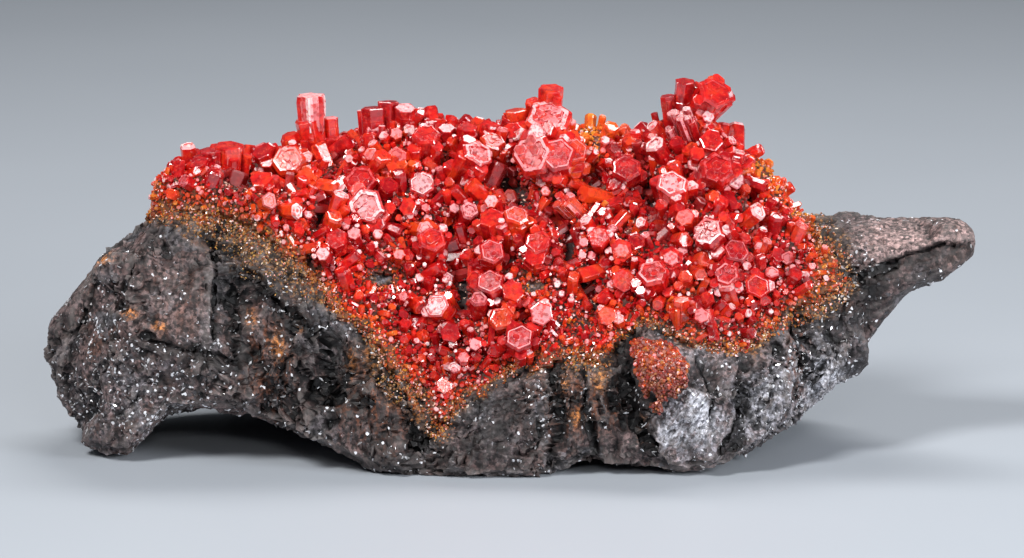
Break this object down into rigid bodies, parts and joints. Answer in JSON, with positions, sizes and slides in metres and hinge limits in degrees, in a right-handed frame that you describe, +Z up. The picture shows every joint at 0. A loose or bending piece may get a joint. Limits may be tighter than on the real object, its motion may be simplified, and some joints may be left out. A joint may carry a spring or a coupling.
{
  "type": "vanadinite crystal specimen on matrix",
  "caption": "Cabinet mineral specimen: a crust of red hexagonal vanadinite prisms on a dark, broken iron and manganese rock that rests on a flat cut.",
  "frame": {"origin": "on the flat cut that the rock rests on, below the middle of the specimen's length and depth", "axes": "+Z up, +X to the right along the specimen's length towards the narrow arm of rock, the crystal-covered front faces -Y"},
  "size_m": [0.0995, 0.0414, 0.0384],
  "materials": {
    "iron_manganese_rock": "broken, dark grey-brown, fine metallic sparkle",
    "red_vanadinite": "crystal faces, resinous to adamantine gloss, translucent red",
    "orange_vanadinite": "fine sparkling druse, orange-red"
  },
  "bodies": {
    "root": {"matrix": "iron_manganese_rock", "vanadinite_crust": "red_vanadinite", "vanadinite_front_patch": "orange_vanadinite"}
  },
  "joints": []
}
